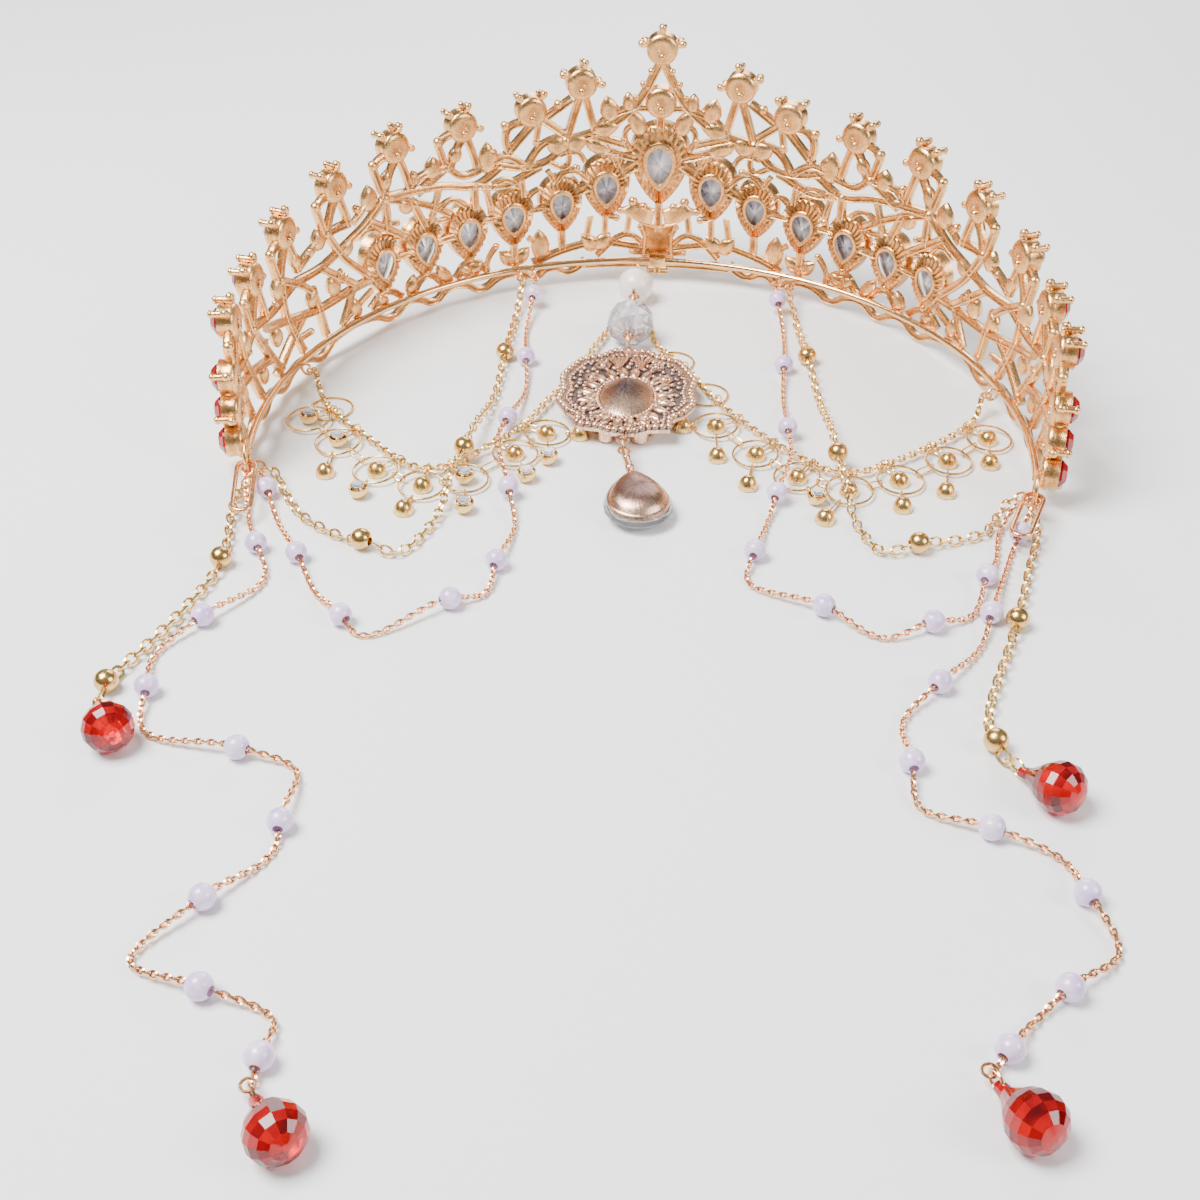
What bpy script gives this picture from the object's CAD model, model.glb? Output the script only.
import random
from math import asin, atan2, copysign, cos, degrees, dist, hypot, pi, radians, sin
import bpy
from mathutils import Matrix, Vector


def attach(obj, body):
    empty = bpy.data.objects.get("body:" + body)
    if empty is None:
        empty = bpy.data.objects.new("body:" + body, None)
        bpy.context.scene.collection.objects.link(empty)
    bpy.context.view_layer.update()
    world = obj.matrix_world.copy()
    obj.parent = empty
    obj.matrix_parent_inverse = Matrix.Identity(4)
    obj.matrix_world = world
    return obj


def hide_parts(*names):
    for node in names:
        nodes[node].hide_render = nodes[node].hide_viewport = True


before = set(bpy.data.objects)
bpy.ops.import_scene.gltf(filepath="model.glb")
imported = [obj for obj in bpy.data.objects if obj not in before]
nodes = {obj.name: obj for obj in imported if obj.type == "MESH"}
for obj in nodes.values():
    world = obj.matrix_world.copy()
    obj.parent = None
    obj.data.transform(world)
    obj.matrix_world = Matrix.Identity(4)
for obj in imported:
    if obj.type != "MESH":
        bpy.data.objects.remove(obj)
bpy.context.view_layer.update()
random.seed(7)
print("frame loaded")

# Pieces are drawn in millimetres and brought to metres when they are finished


def pick(*objects):
    bpy.ops.object.select_all(action="DESELECT")
    for obj in objects:
        obj.select_set(True)
    bpy.context.view_layer.objects.active = objects[0]


def settle(obj):
    pick(obj)
    bpy.ops.object.transform_apply(location=True, rotation=True, scale=True)
    return obj


def placed(obj, place):
    obj.matrix_world = place
    return settle(obj)


def joined(parts, name):
    pick(*parts)
    if len(parts) > 1:
        bpy.ops.object.join()
    made = bpy.context.view_layer.objects.active
    made.name = name
    return settle(made)


def linked(name, data):
    made = bpy.data.objects.new(name, data)
    bpy.context.collection.objects.link(made)
    return made


def copied(obj, place):
    made = linked(obj.name, obj.data.copy())
    made.matrix_world = place @ obj.matrix_world
    return made


def drop(obj):
    bpy.data.objects.remove(obj, do_unlink=True)


# Operators run in edit mode on the whole mesh: (operator, its settings)
def edited(obj, *steps):
    pick(obj)
    bpy.ops.object.mode_set(mode="EDIT")
    bpy.ops.mesh.select_all(action="SELECT")
    for operator, settings in steps:
        operator(**settings)
    bpy.ops.object.mode_set(mode="OBJECT")
    return obj


def scaled(obj, *sizes):
    return edited(obj, (bpy.ops.transform.resize, {"value": sizes, "center_override": (0, 0, 0)}))


# Parts become one piece with a finish, (material, slot), that stands for CAD nodes
def finished(parts, name, finish, replaced, angle=40):
    material, slot = finish
    obj = joined(parts, name)
    edited(obj, (bpy.ops.mesh.remove_doubles, {"threshold": 0.004}),
           (bpy.ops.mesh.normals_make_consistent, {"inside": False}))
    obj.data.transform(Matrix.Scale(0.001, 4))
    pick(obj)
    bpy.ops.object.shade_smooth_by_angle(angle=radians(angle))
    obj.data.materials.clear()
    obj.data.materials.append(material)
    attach(obj, "root")
    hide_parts(*replaced)
    print(obj.name, len(obj.data.polygons), "faces")


def move(x, y, z=0.0):
    return Matrix.Translation((x, y, z))


def turn(angle, axis):
    return Matrix.Rotation(radians(angle), 4, axis)


unmoved = Matrix.Identity(4)


def torus(radius, wire, major, minor, stretch):
    bpy.ops.mesh.primitive_torus_add(major_segments=major, minor_segments=minor,
                                     major_radius=radius, minor_radius=wire / 2)
    return scaled(bpy.context.object, *stretch)


# Ring of round wire, its top and bottom slightly flattened by the hammer
def ring(radius, wire, place, major=24, minor=8):
    return placed(torus(radius, wire, major, minor, (1, 1, 0.94)), place)


def ball(radius, place, squash=1.0, segments=12, rings=8):
    bpy.ops.mesh.primitive_uv_sphere_add(segments=segments, ring_count=rings, radius=radius)
    return placed(scaled(bpy.context.object, 1, 1, squash), place)


# An outline drawn from a circle, extruded and scaled from level to level: (share, height)
def loft(outline, levels, hollow=False):
    bpy.ops.mesh.primitive_circle_add(vertices=len(outline), radius=1,
                                      fill_type="NOTHING" if hollow else "NGON")
    made = bpy.context.object
    share, height = levels[0]
    for vert, point in zip(made.data.vertices, outline):
        vert.co = (point[0] * share, point[1] * share, height)
    extrude = bpy.ops.mesh.extrude_edges_move if hollow else bpy.ops.mesh.extrude_region_move
    steps = [(bpy.ops.mesh.select_mode, {"type": "EDGE" if hollow else "FACE"}),
             (bpy.ops.mesh.select_all, {"action": "SELECT"})]
    for nextShare, nextHeight in levels[1:]:
        grow = nextShare / share
        steps += [(extrude, {"TRANSFORM_OT_translate": {"value": (0, 0, nextHeight - height)}}),
                  (bpy.ops.transform.resize,
                   {"value": (grow, grow, 1), "center_override": (0, 0, nextHeight)})]
        share, height = nextShare, nextHeight
    return edited(made, *steps)


def ellipse(halfWide, halfLong, count):
    steps = [2 * pi * i / count for i in range(count)]
    return [(halfWide * cos(a), halfLong * sin(a)) for a in steps]


def circle(radius, count):
    return ellipse(radius, radius, count)


def pear(halfWide, halfLong, count):
    steps = [2 * pi * (i + 0.5) / count for i in range(count)]
    halfWide *= 1.19
    return [(halfWide * sin(a) * sin(a / 2) ** 0.6, -halfLong * cos(a)) for a in steps]


# Even steps along a smooth curve through the points: (place, direction)
def smoothRoute(points, pitch, start):
    fineness = 24
    p = [Vector(q) for q in points]
    d = [max((b - a).length, 0.001) for a, b in zip(p, p[1:])]
    way = [(b - a) / gap for a, b, gap in zip(p, p[1:], d)]
    slopes = [way[0]]
    for i in range(1, len(way)):
        slopes.append((way[i - 1] * d[i] + way[i] * d[i - 1]) / (d[i] + d[i - 1]))
    slopes.append(way[-1])
    fine = []
    for i, gap in enumerate(d):
        for k in range(fineness):
            t = k / fineness
            a, b = 2 * t ** 3 - 3 * t ** 2 + 1, t ** 3 - 2 * t ** 2 + t
            c, e = 3 * t ** 2 - 2 * t ** 3, t ** 3 - t ** 2
            fine.append(p[i] * a + slopes[i] * gap * b + p[i + 1] * c + slopes[i + 1] * gap * e)
    fine.append(p[-1])
    steps, gone, want = [], 0.0, start
    for q, r in zip(fine, fine[1:]):
        length = (r - q).length
        while length > 0 and want <= gone + length:
            steps.append((q.lerp(r, (want - gone) / length), (r - q).normalized()))
            want += pitch
        gone += length
    return steps


# Place and heading at a length along a route of straight runs
def along(route, way):
    for a, b in zip(route, route[1:]):
        length = dist(a[:2], b[:2])
        if way <= length or b is route[-1]:
            share = way / length
            return (a[0] + (b[0] - a[0]) * share, a[1] + (b[1] - a[1]) * share,
                    degrees(atan2(b[1] - a[1], b[0] - a[0])))
        way -= length


# x along the direction, then a roll about it
def aimed(place, direction, roll):
    x = Vector(direction).normalized()
    y = Vector((0, 0, 1)).cross(x).normalized()
    axes = Matrix((x, y, x.cross(y))).transposed().to_4x4()
    return Matrix.Translation(place) @ axes @ turn(roll, "X")


# Places by the wall's arc: x along it, y up, z inwards
wallR = 76.0


def onWall(u, z, r):
    a = u / wallR
    return (r * sin(a), r * cos(a), z)


def atWall(u, z, r):
    return Matrix.Translation(onWall(u, z, r)) @ turn(-degrees(u / wallR), "Z") @ turn(90, "X")


# Shader maths: a socket that can be added, multiplied and so on
class Signal:
    def __init__(self, tree, socket):
        self.tree = tree
        self.socket = socket

    def node(self, kind, settings, inputs, output=0):
        made = self.tree.nodes.new(kind)
        for name, value in settings.items():
            setattr(made, name, value)
        for name, value in inputs.items():
            if isinstance(value, Signal):
                self.tree.links.new(value.socket, made.inputs[name])
            else:
                made.inputs[name].default_value = value
        return Signal(self.tree, made.outputs[output])

    def math(self, operation, a, b=0.0):
        return self.node("ShaderNodeMath", {"operation": operation}, {0: a, 1: b})

    def __add__(self, other):
        return self.math("ADD", self, other)

    __radd__ = __add__

    def __sub__(self, other):
        return self.math("SUBTRACT", self, other)

    def __rsub__(self, other):
        return self.math("SUBTRACT", other, self)

    def __mul__(self, other):
        return self.math("MULTIPLY", self, other)

    __rmul__ = __mul__

    def clamped(self, low, high):
        return self.node("ShaderNodeMapRange", {}, {"Value": self, "From Min": low, "From Max": high})

    def mixed(self, a, b):
        return self.node("ShaderNodeMix", {"data_type": "RGBA"}, {0: self, 6: colour(a), 7: colour(b)}, 2)

    def noise(self, scale, detail=2.0, rough=0.5):
        return self.node("ShaderNodeTexNoise", {},
                         {"Vector": self, "Scale": scale, "Detail": detail, "Roughness": rough})

    def bump(self, strength, distance):
        return self.node("ShaderNodeBump", {}, {"Height": self, "Strength": strength, "Distance": distance})

    def part(self, axis):
        return self.node("ShaderNodeSeparateXYZ", {}, {0: self}, "XYZ".index(axis))


def colour(value):
    return value if isinstance(value, Signal) else (*value, 1.0)


def newMaterial(name, constants):
    material = bpy.data.materials.new(name)
    material.use_nodes = True
    tree = material.node_tree
    shader = tree.nodes["Principled BSDF"]
    for key, value in constants.items():
        shader.inputs[key].default_value = value
    place = Signal(tree, tree.nodes.new("ShaderNodeTexCoord").outputs["Object"])
    return material, shader, place


def feed(shader, signals):
    for name, signal in signals.items():
        signal.tree.links.new(signal.socket, shader.inputs[name])


# Cast and drawn metals: grain, dull patches, tarnish in the low places
def metal(name, **look):
    material, shader, place = newMaterial(name, {"Metallic": 1.0})
    geometry = place.tree.nodes.new("ShaderNodeNewGeometry")
    edge = Signal(place.tree, geometry.outputs["Pointiness"]).clamped(0.46, 0.56)
    grain = place.noise(look["grain"], 4.0, 0.6)
    worn = place.noise(look["patch"], 3.0).clamped(0.35, 0.7)
    body = worn.mixed(look["dark"], look["mid"])
    feed(shader, {"Base Color": (edge * (0.55 + 0.6 * grain)).mixed(body, look["light"]),
                  "Roughness": look["rough"] + 0.22 * grain - 0.1 * worn,
                  "Normal": grain.bump(look["bump"], 0.00012)})
    return material


castMetal = metal(
    "cast peach gold", light=(1, 0.6, 0.25), mid=(0.76, 0.31, 0.07), dark=(0.24, 0.07, 0.012),
    grain=2600, patch=320, rough=0.2, bump=0.5)
wireMetal = metal(
    "polished rim wire", light=(1, 0.68, 0.36), mid=(0.82, 0.4, 0.13), dark=(0.42, 0.17, 0.045),
    grain=1200, patch=160, rough=0.08, bump=0.15)
roseMetal = metal(
    "rose gold chain", light=(0.98, 0.54, 0.28), mid=(0.68, 0.26, 0.09), dark=(0.3, 0.09, 0.025),
    grain=2400, patch=500, rough=0.16, bump=0.25)
yellowMetal = metal(
    "yellow gold chain", light=(0.95, 0.66, 0.26), mid=(0.68, 0.38, 0.09), dark=(0.28, 0.13, 0.02),
    grain=2200, patch=420, rough=0.16, bump=0.22)
rose, yellow = (roseMetal, "rose_metal"), (yellowMetal, "yellow_metal")


# Filigree: bright on the raised grains, blue-grey dirt between them, rays on the cone
def filigreeFinish(name, **look):
    material, shader, place = newMaterial(name, {"Metallic": 1.0})
    top = look["top"]
    x, y, z = place.part("X") - look["centre"][0], place.part("Y") - look["centre"][1], place.part("Z")
    grain = place.noise(2400, 4.0, 0.65)
    raised = (z + 0.0004 * grain).clamped(top, top + 0.0007)
    deep = (1.0 - raised) * z.clamped(top - 0.0006, top - 0.0003)
    reach = place.math("SQRT", x * x + y * y)
    ray = place.node("ShaderNodeTexNoise", {"noise_dimensions": "1D"},
                     {"W": place.math("ARCTAN2", y, x), "Scale": 26.0, "Detail": 3.0})
    warm = place.noise(300, 3.0).clamped(0.35, 0.65).mixed((0.42, 0.19, 0.11), (0.8, 0.44, 0.27))
    shiny = (grain * ray).clamped(0.16, 0.34).mixed(warm, (1.0, 0.72, 0.52))
    streak = 1.7 * ray.clamped(0.34, 0.56) * (1.0 - reach.clamped(0.0012, look["apex"]))
    smoked = (streak * z.clamped(top + 0.0004, top + 0.0008)).mixed(shiny, look["smoke"])
    feed(shader, {"Base Color": (0.85 * deep).mixed(smoked, (0.1, 0.1, 0.13)),
                  "Roughness": 0.2 + 0.2 * grain + 0.25 * deep,
                  "Normal": (grain * 0.5 + ray * 0.5).bump(0.45, 0.00015)})
    return material


def pearlFinish(name, **look):
    material, shader, place = newMaterial(name, {
        "Metallic": 0.0, "Coat Weight": 0.7, "Coat Roughness": 0.08, "Sheen Weight": 0.15})
    cloud = place.noise(look["cloud"], 3.0, 0.55)
    feed(shader, {"Base Color": cloud.clamped(0.3, 0.7).mixed(look["cool"], look["warm"]),
                  "Roughness": 0.18 + 0.16 * place.noise(1800, 2.0),
                  "Normal": cloud.bump(0.12, 0.0002)})
    return material


smallPearl = pearlFinish(
    "lavender pearl", cloud=420, cool=(0.56, 0.4, 0.74), warm=(0.86, 0.7, 0.9))
creamPearl = pearlFinish(
    "cream pearl", cloud=240, cool=(0.8, 0.7, 0.62), warm=(0.97, 0.92, 0.86))


# Cut stones and glass: light goes through, with faint veils and scratches
def glassFinish(name, **look):
    material, shader, place = newMaterial(name, {
        "Transmission Weight": look["through"], "IOR": look["ior"], "Specular IOR Level": 0.6})
    veil = place.noise(look["veil"], 3.0, 0.6)
    scratch = place.noise(5000, 2.0)
    facing = Signal(place.tree, place.tree.nodes.new("ShaderNodeNewGeometry").outputs["True Normal"])
    facet = facing.noise(look["facets"], 0.0)   # each facet takes its own tone
    tone = (0.35 * veil + 0.65 * facet).clamped(0.36, 0.62)
    feed(shader, {"Base Color": tone.mixed(look["deep"], look["bright"]),
                  "Roughness": look["rough"] + 0.05 * scratch,
                  "Normal": scratch.bump(0.04, 0.00005)})
    return material


clearStone = glassFinish(
    "clear cut stone", through=0.45, ior=1.8, veil=500, rough=0.02, facets=3.1,
    deep=(0.16, 0.15, 0.22), bright=(1, 0.99, 1))
crystal = glassFinish(
    "clear cut crystal", through=0.7, ior=1.6, veil=260, rough=0.02, facets=2,
    deep=(0.42, 0.4, 0.52), bright=(1, 1, 1))
clearGlass = glassFinish(
    "clear glass drop", through=0.85, ior=1.55, veil=260, rough=0.03, facets=1.2,
    deep=(0.9, 0.92, 0.95), bright=(1, 1, 1))
redStone = glassFinish(
    "red cut stone", through=0.4, ior=1.7, veil=420, rough=0.03, facets=2.6,
    deep=(0.16, 0, 0.003), bright=(0.62, 0.006, 0.008))
redGlass = glassFinish(
    "red glass drop", through=0.5, ior=1.45, veil=160, rough=0.01, facets=1.7,
    deep=(0.1, 0, 0.002), bright=(0.8, 0.001, 0.004))
print("materials made")


def aim(obj, place, direction):
    obj.location = place
    obj.rotation_euler = Vector(direction).to_track_quat("-Z", "Y").to_euler()


# The camera stands before the open side and looks down into the crown
camera = {"place": (0.0116, -0.2616, 0.1688), "look": (-0.058, 0.786, -0.616), "lens": 47.43}
cameraData = bpy.data.cameras.new("camera")
cameraData.sensor_width = 36
cameraData.lens = camera["lens"]
cameraData.clip_start = 0.01
cameraObj = linked("camera", cameraData)
aim(cameraObj, camera["place"], camera["look"])
bpy.context.scene.camera = cameraObj

# The wall is modelled flat, as x along the arc, y up and z outwards, and bent round at the end.
# Bars, scrolls and stems are grouped by their width, each a row of x, y, x, y and so on. Leaves are
# x, y, lean, length and width. Balls are x, y and radius. Pears are x, low end, high end and half
# width. Cups are x, y and the angles of their prongs.
wall = {
    "section": [(-0.75, 0.38), (-0.66, 0.1), (-0.44, 0), (-0.2, 0.2), (0.2, 0.2), (0.44, 0), (0.66, 0.1),
        (0.75, 0.38), (0.75, 1.1), (0.42, 1.5), (-0.42, 1.5), (-0.75, 1.1)],
    "sectionWide": 1.5, "bendShare": 0.3, "bendReach": 1.2, "endSwell": 1.3, "swell": 1.17,
    "bars": [[1.5, [[0, 51.4, 5.3, 41.3, 10.8, 36.7, 20.8, 33.7], [64.2, 29.3, 54.2, 25.2, 48, 21.4]]],
        [1.4, [[5.6, 41.2, 12.2, 38.5, 14.8, 35], [7.4, 32.4, 15.6, 34.8],
        [5.2, 29.4, 12.4, 31.6, 15.6, 34.8], [16.6, 44.4, 14.4, 36], [17.3, 44.4, 20.8, 33.7],
        [19.3, 43.3, 25, 39.6], [26.2, 39.4, 20.9, 35.3], [27.8, 38.6, 34.3, 32.2],
        [30, 39.2, 34.3, 38.2, 33.6, 32.4], [20.8, 33.7, 24.4, 29.7, 30.4, 28.7, 36.5, 30.4],
        [20.8, 35, 26.4, 33.7, 29.6, 29], [29.8, 28.9, 34.4, 32.2, 44.5, 28.9, 48.2, 32.2],
        [35, 30.2, 41.5, 26.3, 50, 28.2, 64.1, 29.4], [48.4, 32, 55.2, 31.7, 57.6, 29.4],
        [48.5, 32, 56, 27.9], [26.4, 28.6, 35, 25.2, 41.5, 26.4], [64.1, 30.7, 63.9, 22.4],
        [64.2, 29.3, 70.6, 24.8, 83.4, 20.8, 93, 21.4], [69, 26, 59.6, 19.2],
        [74.2, 27.2, 81, 27.4, 91.2, 23.8], [81, 27.4, 76.6, 20, 70, 13.6], [83.8, 20.8, 74.2, 13.2],
        [70, 12.6, 86.2, 12.2, 104.8, 17.2], [97.6, 24.4, 87.4, 17.4, 84.4, 5.6],
        [93, 21.4, 101.8, 19.4, 111.4, 20.5], [97.6, 24.2, 97.2, 16, 92.4, 5.6], [90.8, 13.2, 103.4, 5.6],
        [111.4, 20.4, 118.2, 17.4, 128, 19], [111.4, 20.4, 101.2, 5.6], [104.6, 10.4, 115.6, 13, 128, 14.6],
        [118.2, 17.8, 111.4, 5.6], [124.8, 18.7, 118.4, 5.6], [42, 26.4, 42, 20.6], [57.4, 27, 54.2, 19.4],
        [47.6, 16, 51.8, 15.8], [2.6, 7.8, 14, 9.6, 22, 8, 29, 5.6], [22, 13, 22, 8],
        [33.2, 11.2, 33.2, 5.6], [39.8, 5.6, 43.8, 9.6, 47.6, 5.6], [51.2, 5.6, 55, 9.2, 58.8, 5.6],
        [61.8, 5.6, 66, 8.8, 70.4, 5.6], [16.6, 5, 20.7, 2.2, 25, 4.4, 28.6, 1.7, 32, 3.8, 36.6, 3.8, 41.7,
        1.1, 45.6, 3.8, 50, 4, 53.6, 1.2, 58, 3.8, 61, 3.8, 65, 1.2, 70, 3.8, 81, 4, 87, 1.1, 92.4, 3.8, 97,
        3.8, 101.8, 1.6, 107, 4, 112, 1.4, 117, 4, 122, 1.4, 127.4, 4.4]]], [1.1, [[0, 40.8, 5.3, 40.8],
        [26.7, 38.6, 27.6, 33.6], [73.4, 26.6, 68.2, 30], [39.6, 27, 38.2, 20], [50.4, 28, 52.8, 20.8],
        [31, 26.4, 30.6, 22], [20.8, 33.4, 20.2, 27.6, 24.6, 29.4], [15.6, 24.4, 20.2, 27.6, 23.6, 24.6],
        [25.6, 18.8, 30, 18.6], [36.6, 18, 40.4, 18], [59, 15.2, 62.8, 15.2],
        [2.8, 8.2, 7.1, 11.8, 14, 6.2], [7.1, 11.6, 6.4, 16.8], [12, 16, 12.2, 9.6], [15.4, 16, 16.6, 9.4],
        [29.8, 12, 26.6, 9.6], [69.6, 10, 79.4, 5.6], [74.8, 12.8, 79.2, 5.6], [2, 3.8, 17, 3.9],
        [2, 6.8, 5.6, 6.9]]], [2.2, [[4.6, 28.4, 9, 25.4]]], [2, [[15, 23.4, 19.4, 21.6]]], [2.4,
        [[127.4, 4.4, 127.8, 12, 127.2, 20]]]],
    "scrolls": [[0.9, [[40, 26, 38.8, 23.3, 38.2, 21], [9.6, 27.6, 8.4, 30.2, 10.4, 31.2, 11.2, 29.6],
        [76.4, 16.4, 78.6, 15.2, 79.4, 17.2, 77.8, 18], [106, 12.8, 108.4, 13.8, 108, 15.8, 106.2, 15.2]]],
        [1, [[25, 27.5, 23.6, 25], [9.5, 15.3, 12, 16], [4, 13, 3, 11], [37.5, 11.3, 39.8, 8.6, 40, 5.6],
        [56.5, 32.6, 56.4, 30.4], [72, 29.6, 71, 28.2], [61.6, 23, 63.9, 23.8], [89.4, 8.8, 93.8, 9.2],
        [115, 17.6, 116, 19], [18.5, 27.6, 20.2, 27.6]]], [1.1, [[26, 22.5, 27.3, 23.6, 29.5, 22],
        [60, 19.5, 63, 20.3], [48.5, 21, 49.8, 20.3, 52, 20.8], [6.6, 31.2, 8.2, 35.2, 5.6, 37.4, 4, 35.8],
        [7.6, 24, 10.4, 30.4], [16.6, 29, 18.4, 31.6, 22.4, 31], [31.4, 24.4, 34.6, 27.2, 38.6, 25.4],
        [44.6, 22.8, 47.6, 25, 51, 23], [66, 22.2, 68.4, 24.4, 72.4, 23]]]],
    "stems": [[1.5, [[0, 35.6, 0, 39.6]]], [1.4, [[0, 12, 0, 19]]], [1.3, [[0, 1.8, 0, 6.4]]], [1.1,
        [[-2.4, 2.3, 2.4, 2.3]]]],
    "balls": [[2.2, 48.9, 0.8], [3.9, 46.1, 0.8], [5.4, 43.2, 0.7], [22.3, 42.3, 1.1], [34.3, 38.9, 1.1],
        [27.4, 34.6, 0.8], [8, 33.6, 0.8], [9.5, 15.3, 0.9], [4, 13, 0.8], [18.5, 27.6, 0.9],
        [38.3, 19.8, 0.8], [37.5, 11.3, 0.8], [56.5, 32.6, 0.9], [72, 29.6, 1], [61.6, 23, 0.8],
        [86.6, 25.6, 0.9], [100.6, 20.6, 0.8], [89.4, 8.8, 0.8], [115, 17.6, 0.8], [1.6, 6.2, 0.6],
        [5.9, 6.9, 0.75], [17, 3.9, 0.75], [20.8, 34, 1.2], [48.3, 32, 1.1], [64.2, 29.4, 1.2],
        [81, 27.4, 1], [97.6, 24.3, 1.1], [111.4, 20.4, 1.1], [42, 26.4, 1], [12.2, 9.6, 0.8],
        [43.8, 9.6, 0.9], [55, 9.2, 0.9], [66, 8.8, 0.9]],
    "leaves": [[10.4, 37.6, 14, 6.2, 4.4], [6.8, 39.8, 4, 4.6, 3], [15.2, 35.6, -78, 6.6, 4],
        [16.4, 33.4, -112, 6.4, 3.6], [3.8, 34.6, 26, 6.8, 4], [38.6, 28.6, 0, 7.4, 4.4],
        [51.6, 30, 0, 5.4, 4.4], [68.2, 27.6, 0, 6, 4.6], [83.2, 24.6, 8, 5, 4.2],
        [98.6, 20.4, 0, 5.4, 4.4], [115.6, 17.2, 0, 5.4, 4.4], [26.8, 6.2, 4, 7.6, 4.4],
        [48.8, 4.2, 30, 7, 3.4], [79.6, 13, 24, 5.2, 4], [14.2, 7.4, -38, 5.4, 3.8],
        [14.2, 7.4, 38, 5.4, 3.8], [33.2, 6, -44, 5.2, 3.4], [33.2, 6, 44, 5.2, 3.4],
        [20.4, 31.8, 62, 5.6, 4.6], [20.8, 32.2, -64, 5.4, 4.4], [43.8, 5.4, -40, 4.4, 3],
        [43.8, 5.4, 40, 4.4, 3], [59.8, 4.8, -20, 5.2, 3.2], [66, 4.8, 34, 4.6, 3.2],
        [74.4, 5, 10, 5.6, 3.6], [88.6, 13.6, -30, 5, 3.4], [101, 11.2, 10, 5, 3.6],
        [108.6, 7, 16, 4.8, 3.4], [121.2, 9.6, 4, 5, 3.6], [57.6, 24.4, 40, 4.6, 3.4],
        [76.6, 20.4, -34, 4.6, 3.2], [36.6, 31, 30, 4.4, 3.2], [47, 32.6, -28, 4.4, 3.2],
        [64, 31, -16, 4.6, 3.2], [90.6, 24, 26, 4.4, 3.2]],
    "leafEdge": [(0, 0), (-0.5, 0.06), (-0.85, 0.2), (-1, 0.46), (-0.8, 0.7), (-0.4, 0.88), (0, 1),
        (0.4, 0.88), (0.8, 0.7), (1, 0.46), (0.85, 0.2), (0.5, 0.06)],
    "leafProfile": [(0.12, -0.25), (0.5, -0.12), (0.85, 0.2), (1, 0.7), (0.94, 1.3), (0.6, 2), (0.1, 2.3)],
    "peakCups": [[17.1, 46.4, [27, 100, 186]], [28.2, 41.2, [50, 130]], [127, 19, [30]], [128.4, 12.9, [0]],
        [129.4, 6.8, [-110]]],
    "midCups": [[0, 53.6, [14, 90, 166]], [0, 42, [50, 130]]],
    "unitCups": [[44, 40.3], [60.5, 39.5], [77.3, 36.3], [94, 33], [107.7, 29.3], [121, 27.5]],
    "unitProngs": [46, 112, 197],
    "unitLegs": [[[0.2, -2.6], [2.2, -5.4], [3.7, -9.4]], [[-0.8, -2.6], [-2, -6], [-2.9, -9.6]],
        [[1.8, -1], [6.1, -2.2], [5.4, -5], [4.2, -8.6]]],
    "unitBall": [6, -2.2, 1.1],
    "cupProfile": [(0.08, -0.35), (0.3, -0.42), (0.5, -0.55), (0.75, -0.42), (0.94, -0.1), (1, 0.3),
        (0.98, 1), (0.93, 1.5), (0.98, 2.3), (1, 2.95), (0.9, 3.05), (0.8, 2.7), (0.5, 1.9), (0.1, 1.6)],
    "cupBumps": [[0.75, (0.1, -1.3, -0.45), 0.8], [0.5, (-0.5, -0.3, -0.35), 0.6]],
    "cupRadius": 3.4, "stemRadius": 0.72, "stemOut": 3.85, "armRadius": 0.62, "armHeight": 1,
    "stem": [(0.7, 0.2), (1, 0.7), (0.86, 2.6), (0.9, 3.6)], "arm": [(1.1, 2.8), (0.9, 3.4), (1, 4.3)],
    "tips": [[0.82, (3.8, 0, 3.75), 0.85], [0.88, (4.45, 0, 1), 1]],
    "pears": [[11.8, 14.8, 29.6, 5.2], [22, 12, 25.6, 4.8], [33.2, 10.2, 24, 4.9], [44, 8.8, 22.4, 4.9],
        [55, 8.2, 21.8, 4.9], [66, 7.8, 21.4, 4.8]],
    "midPear": [0, 18.2, 37, 6.3],
    "pearProfile": [(0.5, -0.42), (0.55, -0.46), (0.59, -0.3), (0.61, -0.12), (0.7, -0.02), (0.82, 0.12),
        (0.93, 0.35), (1, 0.8), (1.03, 2), (1.06, 2.95), (1.03, 3.12), (0.98, 3), (0.93, 1.9), (0.8, 1),
        (0.6, 0.5), (0.47, 0.2), (0.44, -0.1), (0.46, -0.36), (0.5, -0.42)],
    "ribs": [0.2, 0.16, 1.05],
    "wingEdge": [(-4.2, 0.9), (-1.8, 1.8), (0.8, 3.2), (2, 1.7), (4.4, 0.8), (2, -0.6), (-0.8, -2.4),
        (-3.4, -3)],
    "wingProfile": [(0.5, -0.2), (0.85, 0), (1, 0.5), (0.96, 1.4), (0.7, 2)],
    "wingBalls": [[3.4, 18, 1], [5.8, 19.3, 1.1], [8.6, 17.2, 0.9]],
    "vaseEdge": [(-3.8, -4.6), (-3.4, 0.8), (-4.6, 4.6), (0, 3.2), (4.6, 4.6), (3.4, 0.8), (3.8, -4.6)],
    "vaseProfile": [(0.5, 0.7), (0.7, 0.6), (0.78, -0.15), (0.92, -0.2), (1, 0.2), (1, 1.6), (0.8, 2.2)]
}


def newCurve(name, dimensions="3D"):
    data = bpy.data.curves.new(name, "CURVE")
    data.dimensions = dimensions
    return linked(name, data), data


def polyline(data, points):
    spline = data.splines.new("POLY")
    spline.points.add(len(points) - 1)
    for knot, point in zip(spline.points, points):
        knot.co = (*point, 1)
    return spline


def meshed(curve):
    pick(curve)
    bpy.ops.object.convert(target="MESH")
    return bpy.context.object


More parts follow.
